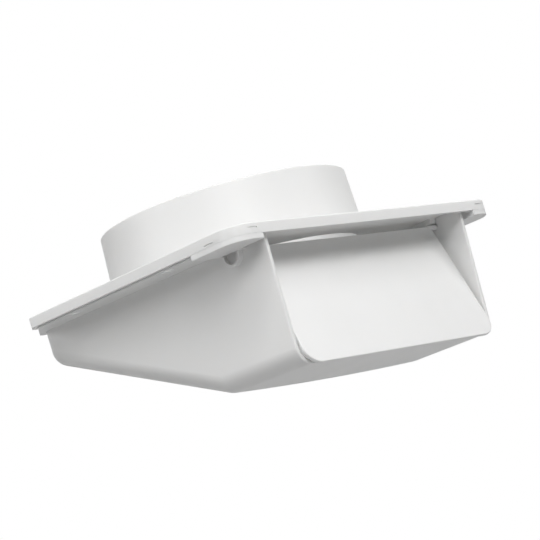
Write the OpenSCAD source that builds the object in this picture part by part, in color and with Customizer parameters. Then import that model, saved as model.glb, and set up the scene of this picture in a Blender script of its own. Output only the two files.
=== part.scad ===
// Eave vent: a duct plate with a round collar, a hood below it and a hinged damper flap.
// The origin is on the duct's axis, level with the plate's top face. +Z is up, the mouth faces -Y.

/* [Duct plate] */
// Width of the plate, side to side
plate_w = 150; // [146:1:170]
// From the duct's axis to the plate's front edge
plate_front = 70; // [68:0.5:80]
// From the duct's axis to the plate's rear edge
plate_back = 59; // [57:0.5:70]
// Thickness of the plate
plate_t = 1.6; // [1.2:0.1:2]
// Radius of the plate's two front corners
front_corner_r = 9; // [5:0.5:11]
// Length cut off the rear edge at each chamfered corner
chamfer_x = 15; // [10:0.5:18]
// Length cut off the side edge at each chamfered corner
chamfer_y = 16; // [10:0.5:18]
// From the plate's top face to the lower edge of the skirt
skirt_h = 4.1; // [3.8:0.1:6]
// Thickness of the skirt
skirt_t = 1.6; // [1.2:0.1:2.2]

/* [Duct collar] */
// Outside diameter of the collar, which the duct slides over
collar_d = 99; // [90:1:104]
// Wall of the collar
collar_wall = 1.8; // [1.2:0.1:2.6]
// Height of the collar above the plate
collar_h = 25; // [15:1:50]

/* [Screw holes] */
// Diameter of the four screw holes
screw_hole_d = 4.5; // [3:0.1:5]
// From the plate's side edge to the holes' centres
hole_inset = 5.75; // [5:0.25:7]
// From the duct's axis forward to the front pair of holes
hole_front = 28; // [20:1:36]
// From the duct's axis back to the rear pair of holes
hole_back = 24; // [16:1:32]
// Diameter of the spacer round each hole, between the two mouldings
boss_d = 8; // [7:0.5:10]

/* [Flange tray] */
// Gap between the skirt and the edge of the tray inside it
tray_gap = 0.65; // [0.2:0.05:1]
// How far the tray's underside stands below the skirt
tray_show = 0.6; // [0.3:0.1:1]
// Thickness of the flange and of the tray's edge
flange_t = 1.6; // [1.2:0.1:1.8]
// Length of each ear, from the front edge back
ear_l = 24; // [22:0.5:34]
// How far the ears stand below the flange
ear_step = 1.5; // [1:0.1:2.5]
// Gap between each ear and the hood's side wall
ear_gap = 3.3; // [2:0.1:5]
// How far that gap runs back from the front edge
ear_gap_l = 12; // [6:0.5:12]

/* [Hood] */
// Outside width of the hood at its mouth
hood_front_w = 116; // [110:1:118]
// Outside width of the hood at its rear wall
hood_back_w = 125; // [118:1:128]
// From the plate's top face down to the hood's floor
hood_depth = 52.4; // [44:0.4:60]
// From the plate's top face down to the floor's height at the rear wall
hood_back_depth = 17.6; // [16:0.2:26]
// From the duct's axis forward to where the sloping floor turns flat
floor_bend = 27; // [20:1:35]
// How much lower the middle of that bend is than its ends
floor_crown = 0.7; // [0:0.1:1.5]
// Wall of the hood
hood_wall = 1.6; // [1.2:0.1:2]
// Outside radius between the walls and the floor
hood_fillet_r = 7; // [5:0.5:9]
// Draft angle of the side walls
side_draft = 1.3; // [0.5:0.1:2]
// Gap between the skirt and the mouth's upper end
mouth_gap = 1.3; // [1:0.1:3]
// How far the mouth's lower end stands back from its upper end
mouth_rake = 1.6; // [0.5:0.1:3]
// Step between the collar's bore and the inside of the rear wall
back_step = 4.4; // [1:0.1:5]

/* [Damper flap] */
// Thickness of the flap
flap_t = 1.5; // [1.2:0.1:2]
// Gap between the flap's side edges and the hood's walls
flap_side_gap = 0.5; // [0.4:0.1:1.2]
// How much more each side of the flap stands back from the wall at the hinge
flap_taper = 3.3; // [2:0.1:4.5]
// How far the flap's top edge stands above the pins' axis
flap_top = 0.2; // [0:0.1:0.6]
// How far the flap reaches down past the lip it rests on
flap_cover = 2.9; // [1:0.1:3.5]
// Radius of the flap's lower corners
flap_corner_r = 7; // [6.5:0.5:12]
// How far the closed flap stands in front of the lip, so that its corners clear the rim
rest_gap = 1.1; // [0.9:0.05:1.5]

/* [Hinge] */
// Diameter of the flap's stub pins
pin_d = 2; // [1.8:0.1:2.6]
// Clearance round a pin in its slot
pin_clear = 0.08; // [0.03:0.01:0.1]
// From the mouth's upper end back to the pins' axis
hinge_back = 13.7; // [13:0.1:16]
// From the flange's underside down to the pins' axis
hinge_drop = 0.7; // [0.6:0.1:1.5]
// Outside radius of the guard round each pin's end
guard_r = 4.4; // [4:0.1:5]
// Thickness of the guard
guard_t = 1; // [0.8:0.1:1.2]
// Gap between a pin and the front of its guard
guard_gap = 0.2; // [0.15:0.05:0.5]
// How far the guard's centre lies below the pins' axis
guard_low = 1.3; // [0.5:0.1:2.5]
// How far the guard stands out from the side wall
guard_l = 2.2; // [2:0.1:4]
// How far a pin's end stays inside its guard
pin_recess = 0.6; // [0.4:0.1:1]
// Length of the pads that keep the pins in their slots
keeper_l = 9; // [6:0.5:12]
// Clearance of those pads over the pins, and beside them
keeper_clear = 0.3; // [0.2:0.05:0.5]

/* [Hidden] */
$fn = 96;
plastic_white = [0.93, 0.93, 0.92];
// Overlap that keeps cuts clean
cut = 1;
// Facets of the balls that round the hood
ball_fn = 32;

bore_r = collar_d / 2 - collar_wall;
// Levels below the plate's top face
tray_z = -(skirt_h + tray_show);
ear_z = tray_z - ear_step;
// Outline of the tray, set in from the plate's own outline
tray_inset = skirt_t + tray_gap;

// Hood: mouth, rear wall and the slope of its floor
mouth_y = -(plate_front - skirt_t - mouth_gap);
rear_y = bore_r + back_step + hood_wall;
floor_angle = atan((hood_depth - hood_back_depth) / (rear_y + floor_bend));
rake_angle = atan(mouth_rake / hood_depth);
// Inner edge of the ear, beside the gap
ear_x = hood_front_w / 2 + ear_gap;

// Outside half width of the hood at a place y and a level z
function hood_half(y, z) =
    hood_front_w / 2
    + (hood_back_w - hood_front_w) / 2 * (y - mouth_y) / (rear_y - mouth_y)
    + z * tan(side_draft);

// Hinge axis, and the lip's inner edge that the flap leans on
hinge_y = mouth_y + hinge_back;
hinge_z = tray_z - hinge_drop;
lip_z = -hood_depth + hood_wall;
lip_y = mouth_y - lip_z * tan(rake_angle);
lip_reach = norm([lip_y - hinge_y, lip_z - hinge_z]);
flap_lean = atan((hinge_y - lip_y) / (hinge_z - lip_z)) + asin((flap_t / 2 + rest_gap) / lip_reach);
flap_len = lip_reach + flap_cover;
wall_x = hood_half(hinge_y, hinge_z);

// Guard round a pin's end, and the pocket inside it
pocket_r = guard_r - guard_t;
guard_y = hinge_y - pin_d / 2 - guard_gap + pocket_r;
guard_z = hinge_z - guard_low;

// Where the flap's straight sides end and its corners begin
flap_low = flap_len - flap_corner_r;

// Half width of the flap at a distance v below the hinge axis
function flap_half(v) =
    hood_half(hinge_y - v * sin(flap_lean), hinge_z - v * cos(flap_lean)) - hood_wall - flap_side_gap
    - flap_taper * (1 - v / flap_low);

flap_top_x = flap_half(0);
pin_end_x = wall_x + guard_l - pin_recess;

// Length cut off a corner along one edge, once the outline is set in by d
function chamfer_in(along, across, d) =
    along * (1 + d * norm([1 / along, 1 / across]) - d / across) - d;

// Plate outline, set in by d: round front corners, chamfered rear corners
module outline(d) {
    x = plate_w / 2 - d;
    front = plate_front - d;
    back = plate_back - d;
    r = front_corner_r - d;
    cx = chamfer_in(chamfer_x, chamfer_y, d);
    cy = chamfer_in(chamfer_y, chamfer_x, d);
    polygon([
        [-x + r, -front], [x - r, -front], [x, -front + r],
        [x, back - cy], [x - cx, back], [-x + cx, back], [-x, back - cy],
        [-x, -front + r]
    ]);
    for (side = [-1, 1])
        translate([side * (x - r), -front + r])
            circle(r);
}

// Copies its children to the four screw holes
module at_screws() {
    for (side = [-1, 1], y = [-hole_front, hole_back])
        translate([side * (plate_w / 2 - hole_inset), y])
            children();
}

module screw_holes() {
    at_screws()
        translate([0, 0, ear_z - cut])
            cylinder(d = screw_hole_d, h = -ear_z + 2 * cut);
}

// Skirt along the front and the two sides, up to the chamfered corners
module skirt() {
    translate([0, 0, -skirt_h])
        linear_extrude(skirt_h - plate_t / 2)
            difference() {
                outline(0);
                outline(skirt_t);
                translate([-plate_w, plate_back - chamfer_y])
                    square([2 * plate_w, plate_back]);
            }
}

// Pad under the plate that stops a pin from lifting out of its slot
module keeper(side) {
    x0 = flap_top_x + keeper_clear;
    x1 = wall_x - hood_wall - keeper_clear;
    z0 = hinge_z + pin_d / 2 + keeper_clear;
    translate([side > 0 ? x0 : -x1, hinge_y - pin_d / 2 - keeper_clear, z0])
        cube([x1 - x0, keeper_l, -plate_t / 2 - z0]);
}

module duct_plate() {
    color(plastic_white)
        difference() {
            union() {
                translate([0, 0, -plate_t])
                    linear_extrude(plate_t)
                        outline(0);
                skirt();
                translate([0, 0, -plate_t / 2])
                    cylinder(d = collar_d, h = collar_h + plate_t / 2);
                for (side = [-1, 1])
                    keeper(side);
            }
            translate([0, 0, -hood_depth])
                cylinder(r = bore_r, h = hood_depth + collar_h + cut);
            screw_holes();
        }
}

// Rounded form of the hood, open upward and forward; its faces stand d inside the outer ones
module hood_form(d) {
    r = hood_fillet_r;
    run_z = 2 * r;
    run_y = mouth_y - 2 * r;
    back_y = rear_y - r;
    low_z = -hood_depth + r;
    bend_y = -floor_bend - r * tan(floor_angle / 2);
    back_z = -hood_depth + (back_y + floor_bend) * tan(floor_angle) + r / cos(floor_angle);
    hull() {
        for (side = [-1, 1])
            for (p = [[run_y, run_z], [back_y, run_z], [back_y, back_z], [bend_y, low_z], [run_y, low_z]])
                translate([side * (hood_half(p[0], p[1]) - r), p[0], p[1]])
                    sphere(r - d, $fn = ball_fn);
        for (share = [-0.5, 0, 0.5])
            translate([
                share * (hood_half(bend_y, low_z) - r), bend_y, low_z - floor_crown * (1 - share * share)
            ])
                sphere(r - d, $fn = ball_fn);
    }
}

// Everything in front of the raked mouth
module mouth_cut() {
    translate([0, mouth_y, 0])
        rotate([rake_angle, 0, 0])
            translate([-plate_w, -plate_front, -2 * hood_depth])
                cube([2 * plate_w, plate_front, 3 * hood_depth]);
}

module hood_shell() {
    difference() {
        hood_form(0);
        mouth_cut();
        translate([-plate_w, -plate_w, -plate_t])
            cube([2 * plate_w, 2 * plate_w, plate_w]);
    }
}

// Ears at the front corners, flush with the skirt
module ears() {
    translate([0, 0, ear_z])
        linear_extrude(-skirt_h - ear_z)
            intersection() {
                outline(0);
                translate([-plate_w, -plate_front - cut])
                    square([2 * plate_w, ear_l + cut]);
            }
}

// Flange, the edge that stands up to the plate, and the spacers round the screw holes
module tray() {
    difference() {
        union() {
            translate([0, 0, tray_z])
                linear_extrude(flange_t)
                    outline(tray_inset);
            translate([0, 0, tray_z])
                linear_extrude(-plate_t - tray_z) {
                    difference() {
                        outline(tray_inset);
                        outline(tray_inset + flange_t);
                    }
                    intersection() {
                        outline(tray_inset);
                        at_screws()
                            circle(d = boss_d);
                    }
                }
            ears();
        }
        translate([-ear_x, -plate_front - cut, ear_z - cut])
            cube([2 * ear_x, ear_gap_l + cut, -ear_z + 2 * cut]);
        screw_holes();
    }
}

// U-shaped guard outside a side wall, before its pocket is cut
module guard(side) {
    start = wall_x - hood_wall / 2;
    leg = tray_z + flange_t / 2 - guard_z;
    translate([side > 0 ? start : -(wall_x + guard_l), guard_y, guard_z])
        rotate([90, 0, 90])
            linear_extrude(guard_l + hood_wall / 2) {
                translate([-guard_r, 0])
                    square([2 * guard_r, leg]);
                circle(guard_r);
            }
}

// Pocket inside a guard, open outward and upward, through which the pin is dropped in
module guard_pocket(side) {
    x0 = wall_x + pin_clear;
    translate([side > 0 ? x0 : -(x0 + guard_l), guard_y, guard_z])
        rotate([90, 0, 90])
            linear_extrude(guard_l) {
                circle(pocket_r);
                translate([-pocket_r, 0])
                    square([2 * pocket_r, -guard_z + cut]);
            }
}

// Open-topped slot through both side walls
module pin_slots() {
    slot_r = pin_d / 2 + pin_clear;
    for (side = [-1, 1])
        translate([side * (wall_x - hood_wall / 2), hinge_y, hinge_z]) {
            rotate([0, 90, 0])
                cylinder(r = slot_r, h = 2 * hood_wall, center = true);
            translate([-hood_wall, -slot_r, 0])
                cube([2 * hood_wall, 2 * slot_r, -hinge_z]);
        }
}

module hood() {
    color(plastic_white)
        difference() {
            union() {
                tray();
                hood_shell();
                for (side = [-1, 1])
                    guard(side);
            }
            hood_form(hood_wall);
            for (side = [-1, 1])
                guard_pocket(side);
            pin_slots();
        }
}

// Flap in its own plane: x across, y down from the hinge axis as negative values
module flap_outline() {
    low_x = flap_half(flap_low);
    corner_x = low_x - flap_corner_r;
    polygon([
        [-flap_top_x, flap_top], [flap_top_x, flap_top], [low_x, -flap_low], [corner_x, -flap_len],
        [-corner_x, -flap_len], [-low_x, -flap_low]
    ]);
    for (side = [-1, 1])
        translate([side * corner_x, -flap_low])
            circle(flap_corner_r);
}

module damper_flap() {
    color(plastic_white)
        translate([0, hinge_y, hinge_z])
            rotate([-flap_lean, 0, 0]) {
                rotate([90, 0, 0])
                    linear_extrude(flap_t, center = true)
                        flap_outline();
                for (side = [-1, 1])
                    rotate([0, 90 * side, 0])
                        translate([0, 0, flap_top_x - pin_d])
                            cylinder(d = pin_d, h = pin_end_x - flap_top_x + pin_d);
            }
}

duct_plate();
hood();
damper_flap();
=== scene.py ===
import math

import bmesh
import bpy
from mathutils import Matrix, Vector


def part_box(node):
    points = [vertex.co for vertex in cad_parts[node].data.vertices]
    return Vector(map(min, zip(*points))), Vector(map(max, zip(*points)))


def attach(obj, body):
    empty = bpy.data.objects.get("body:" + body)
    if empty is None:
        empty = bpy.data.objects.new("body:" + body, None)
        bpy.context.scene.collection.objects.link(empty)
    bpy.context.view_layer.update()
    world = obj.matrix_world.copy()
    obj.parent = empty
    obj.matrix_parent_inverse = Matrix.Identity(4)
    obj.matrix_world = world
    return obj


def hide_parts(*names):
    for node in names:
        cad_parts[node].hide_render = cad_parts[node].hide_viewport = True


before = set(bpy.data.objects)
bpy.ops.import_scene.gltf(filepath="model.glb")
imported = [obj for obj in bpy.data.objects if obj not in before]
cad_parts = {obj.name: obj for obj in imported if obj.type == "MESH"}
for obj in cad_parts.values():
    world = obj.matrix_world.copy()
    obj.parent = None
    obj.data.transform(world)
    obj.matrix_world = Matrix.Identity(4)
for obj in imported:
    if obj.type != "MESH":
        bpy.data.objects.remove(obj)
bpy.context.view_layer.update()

mm = 0.001
past = 5  # how far a block reaches beyond what it cuts
over = 1  # how far a drill stands out of its hole
bite = 0.5  # how far an added shape reaches into its neighbour
leastRound = 0.02  # smallest corner that an outline may have
sharpFrom = 32  # an edge looks sharp from this angle on, in degrees
print("frame loaded with", len(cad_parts), "nodes")


# Everything below is drawn in millimetres and scaled to metres when a piece is finished
def nodeBox(node):
    low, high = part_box(node)
    return low / mm, high / mm


plateLow, plateHigh = nodeBox("duct_plate")
flapHigh = nodeBox("damper_flap")[1]


# Rings, lofts and cutters
def cornerRing(corners, inset, steps):
    # closed ring of (x, y) through rounded corners given as (x, y, radius), anticlockwise
    ring = []
    count = len(corners)
    for i in range(count):
        before, here, after = (Vector(corners[(i + k) % count][:2]) for k in (-1, 0, 1))
        inEdge, outEdge = (here - before).normalized(), (after - here).normalized()
        inNormal, outNormal = Vector((-inEdge.y, inEdge.x)), Vector((-outEdge.y, outEdge.x))
        turn = math.atan2(inEdge.cross(outEdge), inEdge.dot(outEdge))
        bend = 1 if turn > 0 else -1
        radius = max(corners[i][2] - bend * inset, leastRound)
        tip = here + (inNormal + outNormal) * inset / (1 + inNormal.dot(outNormal))
        centre = tip - inEdge * radius * abs(math.tan(turn / 2)) + inNormal * radius * bend
        start = math.atan2(-inNormal.y * bend, -inNormal.x * bend)
        for k in range(steps + 1):
            angle = start + turn * k / steps
            ring.append((centre.x + radius * math.cos(angle), centre.y + radius * math.sin(angle)))
    return ring


def quarter(radius, steps=4):
    # (inward, upward) offsets of a rounded edge, from the flat face to the side face
    angles = [math.pi / 2 * k / steps for k in range(steps + 1)]
    return [(radius * (1 - math.sin(a)), radius * (1 - math.cos(a))) for a in angles]


def newObject(name, mesh):
    bmesh.ops.remove_doubles(mesh, verts=mesh.verts, dist=1e-4)
    bmesh.ops.recalc_face_normals(mesh, faces=mesh.faces)
    data = bpy.data.meshes.new(name)
    mesh.to_mesh(data)
    mesh.free()
    piece = bpy.data.objects.new(name, data)
    bpy.context.scene.collection.objects.link(piece)
    return piece


def loft(name, rings):
    mesh = bmesh.new()
    rows = [[mesh.verts.new(point) for point in ring] for ring in rings]
    for low, high in zip(rows, rows[1:]):
        for i in range(len(low)):
            j = (i + 1) % len(low)
            mesh.faces.new((low[i], low[j], high[j], high[i]))
    mesh.faces.new(rows[0][::-1])
    mesh.faces.new(rows[-1])
    return newObject(name, mesh)


def lathe(name, profile, steps, centre=(0, 0)):
    # closed profile of (radius, z) turned about the z axis
    mesh = bmesh.new()
    rows = []
    for k in range(steps):
        angle = 2 * math.pi * k / steps
        rows.append([
            mesh.verts.new((centre[0] + r * math.cos(angle), centre[1] + r * math.sin(angle), z))
            for r, z in profile
        ])
    for k in range(steps):
        here, beside = rows[k], rows[(k + 1) % steps]
        for i in range(len(profile)):
            j = (i + 1) % len(profile)
            corners = [here[i], beside[i], beside[j], here[j]]
            if profile[i][0] < 1e-6:
                corners.remove(beside[i])
            if profile[j][0] < 1e-6:
                corners.remove(beside[j])
            if len(corners) > 2:
                mesh.faces.new(corners)
    return newObject(name, mesh)


def block(name, low, high, turn=None, soft=0):
    mesh = bmesh.new()
    bmesh.ops.create_cube(mesh, size=1)
    for vert in mesh.verts:
        vert.co = [low[i] + (vert.co[i] + 0.5) * (high[i] - low[i]) for i in range(3)]
    if turn:
        bmesh.ops.transform(mesh, matrix=turn, verts=mesh.verts)
    if soft:
        bmesh.ops.bevel(mesh, geom=mesh.edges, offset=soft, segments=3, profile=0.5, affect="EDGES")
    return newObject(name, mesh)


def combine(piece, others, how):
    # one boolean per tool, then the result becomes the piece's own mesh
    for other in others:
        step = piece.modifiers.new(how.lower(), "BOOLEAN")
        step.object = other
        step.operation = how
        step.solver = "MANIFOLD"
    graph = bpy.context.evaluated_depsgraph_get()
    shaped = bpy.data.meshes.new_from_object(piece.evaluated_get(graph))
    piece.modifiers.clear()
    piece.data = shaped
    for other in others:
        bpy.data.objects.remove(other)
    return piece


def screwCutter(spot, hole):
    # drill with flared ends, so that both rims of the hole come out rounded
    r, flare, low, high = hole["diameter"] / 2, hole["rimRound"], hole["low"], hole["high"]
    profile = [(0, low - over), (r + flare, low - over), (r + flare, low)]
    profile += [(r + into, low + up) for into, up in quarter(flare)[1:]]
    profile += [(r + into, high - up) for into, up in reversed(quarter(flare))]
    profile += [(r + flare, high + over), (0, high + over)]
    return lathe("drill", profile, hole["steps"], spot)


# Outline of the plate: round front corners, chamfered rear corners
plate = {
    "halfWidth": plateHigh.x,
    "front": plateLow.y,
    "back": plateHigh.y,
    "thick": 1.6,
    "frontCornerRound": 9,
    "chamferAcross": 15,
    "chamferAlong": 16,
    "rearCornerRound": 1.2,
    "skirtDepth": 4.1,
    "skirtThick": 1.6,
    "topEdgeRound": 0.55,
    "skirtEdgeRound": 0.09,
    "insideRound": 0.5,
    "padLength": 9,
    "padAcross": (53.19, 56.49),
    "padFront": -54.7,
    "padLow": -4.1,
    "padRound": 0.25,
    "cornerSteps": 14,
}

# shallow marks of the mould's sliders in the skirt: (low corner, high corner), repeated on the right
sliderSlots = [
    ((-76, -58.3, -3.35), (-74.65, -53.6, -2.85)),
    ((-68.2, -71, -2.15), (-63.6, -69.65, -1.65)),
]

screws = {"diameter": 4.5, "across": 69.25, "along": (-28, 24), "rimRound": 0.3, "steps": 40}

outline = [
    (-plate["halfWidth"], plate["front"], plate["frontCornerRound"]),
    (plate["halfWidth"], plate["front"], plate["frontCornerRound"]),
    (plate["halfWidth"], plate["back"] - plate["chamferAlong"], plate["rearCornerRound"]),
    (plate["halfWidth"] - plate["chamferAcross"], plate["back"], plate["rearCornerRound"]),
    (-plate["halfWidth"] + plate["chamferAcross"], plate["back"], plate["rearCornerRound"]),
    (-plate["halfWidth"], plate["back"] - plate["chamferAlong"], plate["rearCornerRound"]),
]


def outlineAt(inset, z):
    return [(x, y, z) for x, y in cornerRing(outline, inset, plate["cornerSteps"])]


def screwSpots():
    return [(side * screws["across"], y) for side in (-1, 1) for y in screws["along"]]


collar = {
    "outerRadius": 49.5,
    "wall": 1.8,
    "height": plateHigh.z,
    "rimRound": 0.55,
    "footRound": 1.0,
    "footSteps": 6,
    "steps": 192,
}


def makeCollar():
    outer, bore = collar["outerRadius"], collar["outerRadius"] - collar["wall"]
    top, soft, foot = collar["height"], collar["rimRound"], collar["footRound"]
    low = -plate["thick"] / 2
    profile = [(bore, low), (outer + foot, low)]
    flare = reversed(quarter(foot, collar["footSteps"]))
    profile += [(outer + foot - up, into) for into, up in flare]
    profile += [(outer - into, top - up) for into, up in reversed(quarter(soft))]
    profile += [(bore + into, top - up) for into, up in quarter(soft)]
    return lathe("collar", profile, collar["steps"])


def makeBoreCutter():
    bore, soft = collar["outerRadius"] - collar["wall"], plate["skirtEdgeRound"]
    low = -plate["thick"]
    profile = [(0, low - over), (bore + soft, low - over), (bore + soft, low)]
    profile += [(bore + into, low + up) for into, up in quarter(soft)[1:]]
    profile += [(bore, 0), (0, 0)]
    return lathe("boreCutter", profile, collar["steps"])


def sliderMarks():
    marks = []
    for low, high in sliderSlots:
        marks.append(block("mark", low, high))
        marks.append(block("mark", (-high[0],) + low[1:], (-low[0],) + high[1:]))
    return marks


def makePlate():
    edge, rim, inside = plate["topEdgeRound"], plate["skirtEdgeRound"], plate["insideRound"]
    thick, deep, wall = plate["thick"], plate["skirtDepth"], plate["skirtThick"]
    rings = [outlineAt(into, -up) for into, up in quarter(edge)]
    rings += [outlineAt(into, -deep + up) for into, up in reversed(quarter(rim))]
    rings += [outlineAt(wall - into, -deep + up) for into, up in quarter(rim)]
    rings += [outlineAt(wall + up, -thick - into) for into, up in reversed(quarter(inside))]
    body = loft("ductPlate", rings)
    # the skirt stops where the rear corners are cut off
    rear = plate["back"] - plate["chamferAlong"]
    half = plate["halfWidth"] + past
    openRear = block("openRear", (-half, rear, -deep - past), (half, plate["back"] + past, -thick))
    combine(body, [openRear] + sliderMarks(), "DIFFERENCE")
    pads = []
    near, far = plate["padAcross"]
    for side in (-1, 1):
        low = (min(side * near, side * far), plate["padFront"], plate["padLow"])
        high = (max(side * near, side * far), plate["padFront"] + plate["padLength"], -thick + bite)
        pads.append(block("pad", low, high, soft=plate["padRound"]))
    combine(body, [makeCollar()] + pads, "UNION")
    hole = dict(screws, low=-thick, high=0)
    drills = [screwCutter(spot, hole) for spot in screwSpots()]
    combine(body, [makeBoreCutter()] + drills, "DIFFERENCE")
    return body


# Hood: side walls that flare to the rear, a floor that is flat in front and slopes up behind
hood = {
    "frontHalf": 58,
    "rearHalf": 62.5,
    "depth": 52.4,
    "rearDepth": 17.6,
    "floorBend": -27,
    "floorCrown": 0.7,
    "wall": 1.6,
    "floorRound": 7,
    "draft": 1.3,
    "mouth": -67.1,
    "rear": 53.7,
    "mouthRake": 1.6,
    "lipRound": 0.4,
    "roundSteps": 12,
    "bendSteps": 5,
    "floorSteps": 8,
}

tray = {
    "inset": 2.25,
    "low": -4.7,
    "thick": 1.6,
    "edgeRound": 0.4,
    "insideRound": 0.4,
    "bossDiameter": 8,
    "bossSteps": 48,
    "earLow": -6.2,
    "earTop": -4.1,
    "earRear": -46,
    "earTopRound": 0.05,
    "gapHalf": 61.3,
    "gapRear": -58,
}

hinge = {
    "y": -53.4,
    "z": -5.4,
    "pinRadius": 1,
    "slotRadius": 1.08,
    "guardBack": 2.2,
    "guardLow": 1.3,
    "guardRadius": 4.4,
    "guardWall": 1,
    "guardReach": 2.2,
    "guardTop": -3.9,
    "guardRound": 0.35,
    "guardSteps": 16,
    "cutterRound": 0.01,
}

slopeAlong = (hood["rearHalf"] - hood["frontHalf"]) / (hood["rear"] - hood["mouth"])
slopeDown = math.tan(math.radians(hood["draft"]))
floorAngle = math.atan((hood["depth"] - hood["rearDepth"]) / (hood["rear"] - hood["floorBend"]))
rake = math.atan(hood["mouthRake"] / hood["depth"])


def hoodHalf(y, z):
    return hood["frontHalf"] + slopeAlong * (y - hood["mouth"]) + slopeDown * z


wallAtHinge = hoodHalf(hinge["y"], hinge["z"])


def hoodForm(name, inset):
    # rounded tub, drawn too long in front and above and cut to length later
    r = hood["floorRound"]
    radius = r - inset
    bendTan = math.tan(floorAngle / 2)
    frontY, topZ = hood["mouth"] - 2 * r, 2 * r
    backY, lowZ = hood["rear"] - r, -hood["depth"] + r
    rise = (backY - hood["floorBend"]) * math.tan(floorAngle)
    backZ = -hood["depth"] + rise + r / math.cos(floorAngle)
    spots = [(frontY, lowZ), (hood["floorBend"] - r * bendTan, lowZ), (backY, backZ), (backY, topZ)]
    upright, bend, corner = math.pi / 2, hood["bendSteps"], hood["roundSteps"]
    turns = [(0, [0]), (1, [floorAngle * k / bend for k in range(bend + 1)])]
    turns.append((2, [floorAngle + (upright - floorAngle) * k / corner for k in range(corner + 1)]))
    turns.append((3, [upright]))
    sideNormal = Vector((1, -slopeAlong, -slopeDown)).normalized()

    def wallPoint(side, y, z, direction):
        centre = Vector((side * (hoodHalf(y, z) - r), y, z))
        return centre + radius * direction

    def mirrored(v, side):
        return Vector((side * v.x, v.y, v.z))

    def floorPoint(share, spot, direction):
        # the floor sags a little towards the middle of its bend
        y, z = spots[spot]
        sag = hood["floorCrown"] * (1 - share * share) if spot == 1 else 0
        return Vector((share * (hoodHalf(y, z) - r), y, z - sag)) + radius * direction

    mesh = bmesh.new()
    rows = []
    shares = [k / hood["roundSteps"] for k in range(hood["roundSteps"] + 1)]
    across = [1 - 2 * k / hood["floorSteps"] for k in range(1, hood["floorSteps"])]
    for spot, angles in turns:
        for angle in angles:
            down = Vector((0, math.sin(angle), -math.cos(angle)))
            right = [wallPoint(1, *spots[spot], sideNormal.slerp(down, s)) for s in shares]
            left = [mirrored(p, -1) for p in reversed(right)]
            middle = [floorPoint(share, spot, down) for share in across]
            rows.append([mesh.verts.new(p) for p in right + middle + left])
    for low, high in zip(rows, rows[1:]):
        for i in range(len(low) - 1):
            mesh.faces.new((low[i], low[i + 1], high[i + 1], high[i]))
    tip = {}
    for side in (-1, 1):
        tip[side] = mesh.verts.new(wallPoint(side, frontY, topZ, mirrored(sideNormal, side)))
    mesh.faces.new([row[0] for row in rows] + [tip[1]])
    mesh.faces.new([row[-1] for row in reversed(rows)] + [tip[-1]])
    mesh.faces.new(rows[0][::-1] + [tip[1], tip[-1]])
    mesh.faces.new(rows[-1] + [tip[-1], tip[1]])
    return newObject(name, mesh)


def makeTray():
    inset, low, thick, edge = tray["inset"], tray["low"], tray["thick"], tray["edgeRound"]
    top, within = -plate["thick"], inset + thick
    rings = [outlineAt(inset + into, low + up) for into, up in quarter(edge)]
    rings += [outlineAt(inset, top), outlineAt(within, top)]
    soft = reversed(quarter(tray["insideRound"]))
    rings += [outlineAt(within + up, low + thick + into) for into, up in soft]
    body = loft("hood", rings)
    bosses = []
    for x, y in screwSpots():
        r = tray["bossDiameter"] / 2
        profile = [(0, low + bite), (r, low + bite), (r, top), (0, top)]
        bosses.append(lathe("boss", profile, tray["bossSteps"], (x, y)))
    combine(body, bosses, "UNION")
    # the spacers stop at the tray's own edge
    keep = loft("keep", [outlineAt(inset, low - over), outlineAt(inset, top + over)])
    return combine(body, [keep], "INTERSECT")


def makeEars():
    low, top, edge = tray["earLow"], tray["earTop"], tray["edgeRound"]
    rings = [outlineAt(into, low + up) for into, up in quarter(edge)]
    rings += [outlineAt(into, top - up) for into, up in reversed(quarter(tray["earTopRound"]))]
    ears = loft("ears", rings)
    half = plate["halfWidth"] + past
    near, far = (-half, tray["earRear"], low - past), (half, plate["back"] + past, top + past)
    return combine(ears, [block("behind", near, far)], "DIFFERENCE")


def guardForm(side, centre, radius, start, end, top, soft):
    # a U round the place (y, z), drawn out sideways: round below, straight up to a level
    rise = top - centre[1]
    corners = [(-radius, rise, leastRound), (-radius, -radius, radius)]
    corners += [(radius, -radius, radius), (radius, rise, leastRound)]
    ends = [(0, start)] + [(into, end - up) for into, up in reversed(quarter(soft))]
    rings = []
    for into, x in ends:
        ring = cornerRing(corners, into, hinge["guardSteps"])
        rings.append([(side * x, centre[0] + y, centre[1] + z) for y, z in ring])
    return loft("guard", rings)


def roundLip(body):
    # soften the rim of the mouth, inside and outside
    facing = Vector((0, -math.cos(rake), -math.sin(rake)))
    onRim = Vector((0, hood["mouth"], 0)).dot(facing)
    mesh = bmesh.new()
    mesh.from_mesh(body.data)

    def isRim(face):
        return face.normal.dot(facing) > 0.999 and abs(face.verts[0].co.dot(facing) - onRim) < 0.01

    rim = []
    for edge in mesh.edges:
        sides = [isRim(face) for face in edge.link_faces]
        if sides.count(True) == 1 and min(vert.co.z for vert in edge.verts) < -plate["thick"] - 0.1:
            rim.append(edge)
    bmesh.ops.bevel(mesh, geom=rim, offset=hood["lipRound"], segments=3, profile=0.5, affect="EDGES")
    mesh.to_mesh(body.data)
    mesh.free()
    print(len(rim), "edges of the mouth rounded")


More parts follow.
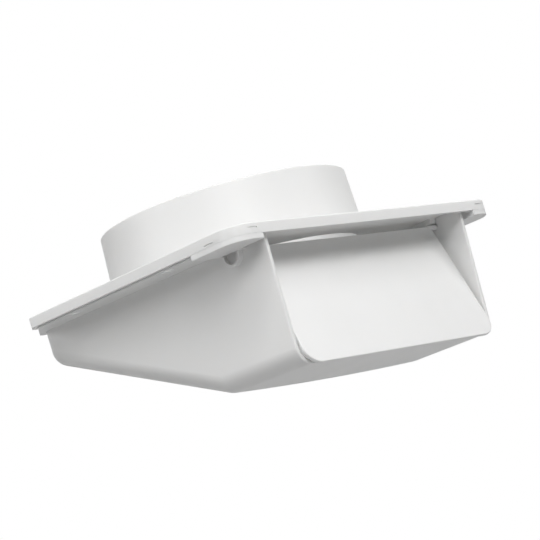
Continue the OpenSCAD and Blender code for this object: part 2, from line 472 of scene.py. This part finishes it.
def makeHood():
    shell = hoodForm("shell", 0)
    far = 200  # well beyond the shell on every side
    turn = Matrix.Translation((0, hood["mouth"], 0)) @ Matrix.Rotation(rake, 4, "X")
    front = block("front", (-far, -far, -far), (far, 0, far), turn)
    above = block("above", (-far, -far, -plate["thick"]), (far, far, far))
    combine(shell, [front, above], "DIFFERENCE")
    body = makeTray()
    combine(body, [makeEars()], "UNION")
    gap = block(
        "gap",
        (-tray["gapHalf"], plate["front"] - past, tray["earLow"] - past),
        (tray["gapHalf"], tray["gapRear"], past),
    )
    combine(body, [gap], "DIFFERENCE")
    guards, pockets, slots = [], [], []
    axis = (hinge["y"], hinge["z"])
    centre = (hinge["y"] + hinge["guardBack"], hinge["z"] - hinge["guardLow"])
    reach, outer = hinge["guardReach"], hinge["guardRadius"]
    inner = outer - hinge["guardWall"]
    pinPlay = hinge["slotRadius"] - hinge["pinRadius"]
    soft, sharp = hinge["guardRound"], hinge["cutterRound"]
    for side in (-1, 1):
        start, end = wallAtHinge - hood["wall"] / 2, wallAtHinge + reach
        guards.append(guardForm(side, centre, outer, start, end, hinge["guardTop"], soft))
        start = wallAtHinge + pinPlay
        pockets.append(guardForm(side, centre, inner, start, start + reach, over, sharp))
        start, end = wallAtHinge - 2 * hood["wall"], wallAtHinge + hood["wall"]
        slots.append(guardForm(side, axis, hinge["slotRadius"], start, end, 0, sharp))
    combine(body, [shell] + guards, "UNION")
    hole = dict(screws, low=tray["low"], high=-plate["thick"])
    drills = [screwCutter(spot, hole) for spot in screwSpots()]
    combine(body, [hoodForm("inside", hood["wall"])] + pockets + slots + drills, "DIFFERENCE")
    roundLip(body)
    return body


# Flap: a plate on two stub pins, leaning forward just clear of the hood's lip
flap = {
    "thick": 1.5,
    "sideGap": 0.5,
    "taper": 3.3,
    "top": 0.2,
    "cover": 2.9,
    "cornerRound": 7,
    "cornerSteps": 12,
    "restGap": 1.1,
    "edgeRound": 0.4,
    "topCornerRound": 0.4,
    "pinEnd": flapHigh.x,
    "pinRound": 0.3,
    "pinSteps": 48,
}


def makeFlap():
    lipZ = -hood["depth"] + hood["wall"]
    lipY = hood["mouth"] - lipZ * math.tan(rake)
    back, down = hinge["y"] - lipY, hinge["z"] - lipZ
    reach = math.hypot(back, down)
    lean = math.atan(back / down) + math.asin((flap["thick"] / 2 + flap["restGap"]) / reach)
    length = reach + flap["cover"]

    def half(v):
        # the sides stand back from the walls, most of all at the hinge
        y, z = hinge["y"] - v * math.sin(lean), hinge["z"] - v * math.cos(lean)
        back = flap["sideGap"] + flap["taper"] * (1 - v / (length - flap["cornerRound"]))
        return hoodHalf(y, z) - hood["wall"] - back

    corners = [
        (-half(length), -length, flap["cornerRound"]),
        (half(length), -length, flap["cornerRound"]),
        (half(0), flap["top"], flap["topCornerRound"]),
        (-half(0), flap["top"], flap["topCornerRound"]),
    ]
    thickHalf, edge = flap["thick"] / 2, quarter(flap["edgeRound"])
    ends = [(into, -thickHalf + up) for into, up in edge]
    ends += [(into, thickHalf - up) for into, up in reversed(edge)]
    rings = []
    for into, y in ends:
        rings.append([(x, y, z) for x, z in cornerRing(corners, into, flap["cornerSteps"])])
    body = loft("damperFlap", rings)
    pins = []
    r, end = hinge["pinRadius"], flap["pinEnd"]
    start = half(0) - 2 * r
    profile = [(0, start), (r, start)]
    profile += [(r - into, end - up) for into, up in reversed(quarter(flap["pinRound"]))] + [(0, end)]
    for side in (-1, 1):
        pin = lathe("pin", profile, flap["pinSteps"])
        pin.data.transform(Matrix.Rotation(math.radians(90 * side), 4, "Y"))
        pins.append(pin)
    combine(body, pins, "UNION")
    turn = Matrix.Translation((0, hinge["y"], hinge["z"])) @ Matrix.Rotation(-lean, 4, "X")
    body.data.transform(turn)
    return body


# Moulded plastic: white, satin, with a fine spark-eroded grain and faint flow streaks from the gate
plasticLook = {
    "colour": (0.8, 0.8, 0.795, 1),
    "flowColour": (0.765, 0.768, 0.758, 1),
    "flowScale": 38,
    "flowStretch": (1, 0.35, 0.6),
    "flowRange": (0.4, 0.75),
    "flowShare": 0.55,
    "grainScale": 2600,
    "grainDepth": 0.00002,
    "grainShare": 0.4,
    "glossRange": (0.4, 1.0),
    "waveScale": 90,
    "waveDepth": 0.00006,
    "bumpStrength": 0.35,
    "glow": 0.3,
    "glowColour": (1, 0.95, 0.9),
    "glowDepth": 0.002,
    "lightBend": 1.49,
}

# how each moulding differs: roughness where the flow is thin and thick, and where its gate lies in mm
mouldings = {
    "platePlastic": {"roughness": (0.42, 0.5), "gate": (0, 52, 0)},
    "hoodPlastic": {"roughness": (0.40, 0.50), "gate": (0, 12, -30)},
    "flapPlastic": {"roughness": (0.34, 0.44), "gate": (20, -58, -26)},
}


def setRange(node, side, ends):
    # both ends of what a Map Range node takes in (From) or gives out (To)
    for end, value in zip(("Min", "Max"), ends):
        node.inputs[side + " " + end].default_value = value


def mouldedPlastic(name):
    own = mouldings[name]
    material = bpy.data.materials.new(name)
    material.use_nodes = True
    nodes, links = material.node_tree.nodes, material.node_tree.links
    shader = nodes["Principled BSDF"]
    shader.inputs["IOR"].default_value = plasticLook["lightBend"]
    # thin white walls let some light through
    shader.inputs["Subsurface Weight"].default_value = plasticLook["glow"]
    shader.inputs["Subsurface Radius"].default_value = plasticLook["glowColour"]
    shader.inputs["Subsurface Scale"].default_value = plasticLook["glowDepth"]
    place = nodes.new("ShaderNodeTexCoord")

    def noise(scale, detail, vector):
        texture = nodes.new("ShaderNodeTexNoise")
        texture.inputs["Scale"].default_value = scale
        texture.inputs["Detail"].default_value = detail
        links.new(vector, texture.inputs["Vector"])
        return texture.outputs["Fac"]

    # resin flow: long soft streaks that start at the gate
    fromGate = nodes.new("ShaderNodeMapping")
    fromGate.inputs["Location"].default_value = [-c * mm for c in own["gate"]]
    fromGate.inputs["Scale"].default_value = plasticLook["flowStretch"]
    links.new(place.outputs["Object"], fromGate.inputs["Vector"])
    flow = noise(plasticLook["flowScale"], 3, fromGate.outputs["Vector"])
    tint = nodes.new("ShaderNodeMix")
    tint.data_type = "RGBA"
    tint.inputs["A"].default_value = plasticLook["colour"]
    tint.inputs["B"].default_value = plasticLook["flowColour"]
    share = nodes.new("ShaderNodeMapRange")
    setRange(share, "From", plasticLook["flowRange"])
    share.inputs["To Max"].default_value = plasticLook["flowShare"]
    links.new(flow, share.inputs["Value"])
    links.new(share.outputs["Result"], tint.inputs["Factor"])
    links.new(tint.outputs["Result"], shader.inputs["Base Color"])

    # gloss follows the flow and is broken up by the grain
    grain = noise(plasticLook["grainScale"], 2, place.outputs["Object"])
    mixed = nodes.new("ShaderNodeMath")
    mixed.operation = "MULTIPLY_ADD"
    mixed.inputs[1].default_value = plasticLook["grainShare"]
    links.new(grain, mixed.inputs[0])
    links.new(flow, mixed.inputs[2])
    gloss = nodes.new("ShaderNodeMapRange")
    setRange(gloss, "From", plasticLook["glossRange"])
    setRange(gloss, "To", own["roughness"])
    links.new(mixed.outputs["Value"], gloss.inputs["Value"])
    links.new(gloss.outputs["Result"], shader.inputs["Roughness"])

    # relief: slight waviness of a thin wall under the grain of the mould
    wave = noise(plasticLook["waveScale"], 1, place.outputs["Object"])
    normal = None
    for height, depth in ((wave, plasticLook["waveDepth"]), (grain, plasticLook["grainDepth"])):
        bump = nodes.new("ShaderNodeBump")
        bump.inputs["Strength"].default_value = plasticLook["bumpStrength"]
        bump.inputs["Distance"].default_value = depth
        links.new(height, bump.inputs["Height"])
        if normal:
            links.new(normal, bump.inputs["Normal"])
        normal = bump.outputs["Normal"]
    links.new(normal, shader.inputs["Normal"])
    print("material", name, "made")
    return material


def finishPiece(piece, body, node, material):
    piece.data.transform(Matrix.Scale(mm, 4))
    piece.data.shade_smooth()
    piece.data.set_sharp_from_angle(angle=math.radians(sharpFrom))
    weighted = piece.modifiers.new("weightedNormals", "WEIGHTED_NORMAL")
    weighted.keep_sharp = True
    piece.data.materials.clear()
    piece.data.materials.append(material)
    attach(piece, body)
    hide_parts(node)
    print(piece.name, "has", len(piece.data.polygons), "faces")
    return piece


finishPiece(makePlate(), "housing", "duct_plate", mouldedPlastic("platePlastic"))
finishPiece(makeHood(), "housing", "hood", mouldedPlastic("hoodPlastic"))
finishPiece(makeFlap(), "flap", "damper_flap", mouldedPlastic("flapPlastic"))

# Camera of the photograph, below the vent and a little tilted
photoCamera = {
    "place": (-0.68863, -0.61948, -0.13958),
    "right": (0.66417, -0.69375, -0.27855),
    "up": (0.08166, -0.30305, 0.94947),
    "lens": 160.42,
    "shiftX": 0.001,
}


def makeCamera():
    camera = bpy.data.objects.new("camera", bpy.data.cameras.new("camera"))
    bpy.context.scene.collection.objects.link(camera)
    right, up = Vector(photoCamera["right"]), Vector(photoCamera["up"])
    turned = Matrix((right, up, right.cross(up))).transposed()
    camera.matrix_world = Matrix.Translation(photoCamera["place"]) @ turned.to_4x4()
    camera.data.lens = photoCamera["lens"]
    camera.data.shift_x = photoCamera["shiftX"]
    camera.data.clip_start, camera.data.clip_end = 0.05, 50
    bpy.context.scene.camera = camera
    print("camera set")


makeCamera()

studio = {
    "floorHeight": -0.22,
    "floorSize": 6,
    "floorColour": (0.85, 0.85, 0.85, 1),
    "floorBounce": (0.47, 0.47, 0.47, 1),
    "floorFade": (0.45, 1.3),
}

# soft round lamps all round the part: turn and height in degrees, size in metres, power in watts
lampDistance = 1.4
lamps = {
    "keyLow": (-34, 26, 0.45, 7.0),
    "key": (-28, 38, 0.45, 2.4),
    "keyHigh": (-44, 52, 0.45, 5.0),
    "right": (38, 32, 0.6, 5.8),
    "leftBack": (-115, 22, 0.6, 4.4),
    "leftHigh": (-80, 50, 0.6, 2.4),
    "back": (163, 70, 0.7, 1.2),
    "rightBack": (128, 26, 0.6, 4.2),
}


def makeLamps():
    for name, (turn, height, size, power) in lamps.items():
        data = bpy.data.lights.new(name, "AREA")
        data.shape, data.size, data.energy = "DISK", size, power
        lamp = bpy.data.objects.new(name, data)
        bpy.context.scene.collection.objects.link(lamp)
        turn, height = math.radians(turn), math.radians(height)
        flat = math.cos(height)
        way = Vector((math.sin(turn) * flat, -math.cos(turn) * flat, math.sin(height)))
        lamp.location = way * lampDistance
        lamp.rotation_mode = "QUATERNION"
        lamp.rotation_quaternion = (-way).to_track_quat("-Z", "Y")
        lamp.visible_camera = False
    print(len(lamps), "lamps set")


def lookedAt(nodes, links):
    # 1 where the camera sees a thing, also in a reflection or through a clear one
    path = nodes.new("ShaderNodeLightPath")
    seen = path.outputs["Is Camera Ray"]
    for other in ("Is Glossy Ray", "Is Transmission Ray"):
        either = nodes.new("ShaderNodeMath")
        either.operation = "MAXIMUM"
        links.new(seen, either.inputs[0])
        links.new(path.outputs[other], either.inputs[1])
        seen = either.outputs["Value"]
    return seen


def makeFloor():
    mesh = bmesh.new()
    bmesh.ops.create_grid(mesh, x_segments=8, y_segments=8, size=studio["floorSize"] / 2)
    floor = newObject("floor", mesh)
    floor.location.z = studio["floorHeight"]
    material = bpy.data.materials.new("floorPaper")
    material.use_nodes = True
    nodes, links = material.node_tree.nodes, material.node_tree.links
    shader = nodes["Principled BSDF"]
    shader.inputs["Roughness"].default_value = 0.9
    # pale to look at, darker as a source of light, so that the hood keeps its shading
    paper = nodes.new("ShaderNodeMix")
    paper.data_type = "RGBA"
    paper.inputs["A"].default_value = studio["floorBounce"]
    paper.inputs["B"].default_value = studio["floorColour"]
    seen = lookedAt(nodes, links)
    links.new(seen, paper.inputs["Factor"])
    links.new(paper.outputs["Result"], shader.inputs["Base Color"])
    # some way from the part it runs out into the white background
    place = nodes.new("ShaderNodeTexCoord")
    away = nodes.new("ShaderNodeVectorMath")
    away.operation = "LENGTH"
    links.new(place.outputs["Object"], away.inputs[0])
    fade = nodes.new("ShaderNodeMapRange")
    fade.interpolation_type = "SMOOTHSTEP"
    setRange(fade, "From", studio["floorFade"])
    links.new(away.outputs["Value"], fade.inputs["Value"])
    links.new(seen, fade.inputs["To Max"])
    white = nodes.new("ShaderNodeEmission")
    blend = nodes.new("ShaderNodeMixShader")
    links.new(fade.outputs["Result"], blend.inputs["Fac"])
    links.new(shader.outputs["BSDF"], blend.inputs[1])
    links.new(white.outputs["Emission"], blend.inputs[2])
    links.new(blend.outputs["Shader"], nodes["Material Output"].inputs["Surface"])
    floor.data.materials.append(material)
    print("floor laid")


def makeWorld():
    # white wherever the world is looked at, black as a source of light
    world = bpy.data.worlds.new("studio")
    bpy.context.scene.world = world
    world.use_nodes = True
    nodes, links = world.node_tree.nodes, world.node_tree.links
    nodes.clear()
    sky = nodes.new("ShaderNodeBackground")
    sky.inputs["Color"].default_value = (1, 1, 1, 1)
    links.new(lookedAt(nodes, links), sky.inputs["Strength"])
    output = nodes.new("ShaderNodeOutputWorld")
    links.new(sky.outputs["Background"], output.inputs["Surface"])


makeLamps()
makeFloor()
makeWorld()
bpy.context.scene.view_settings.view_transform = "Standard"
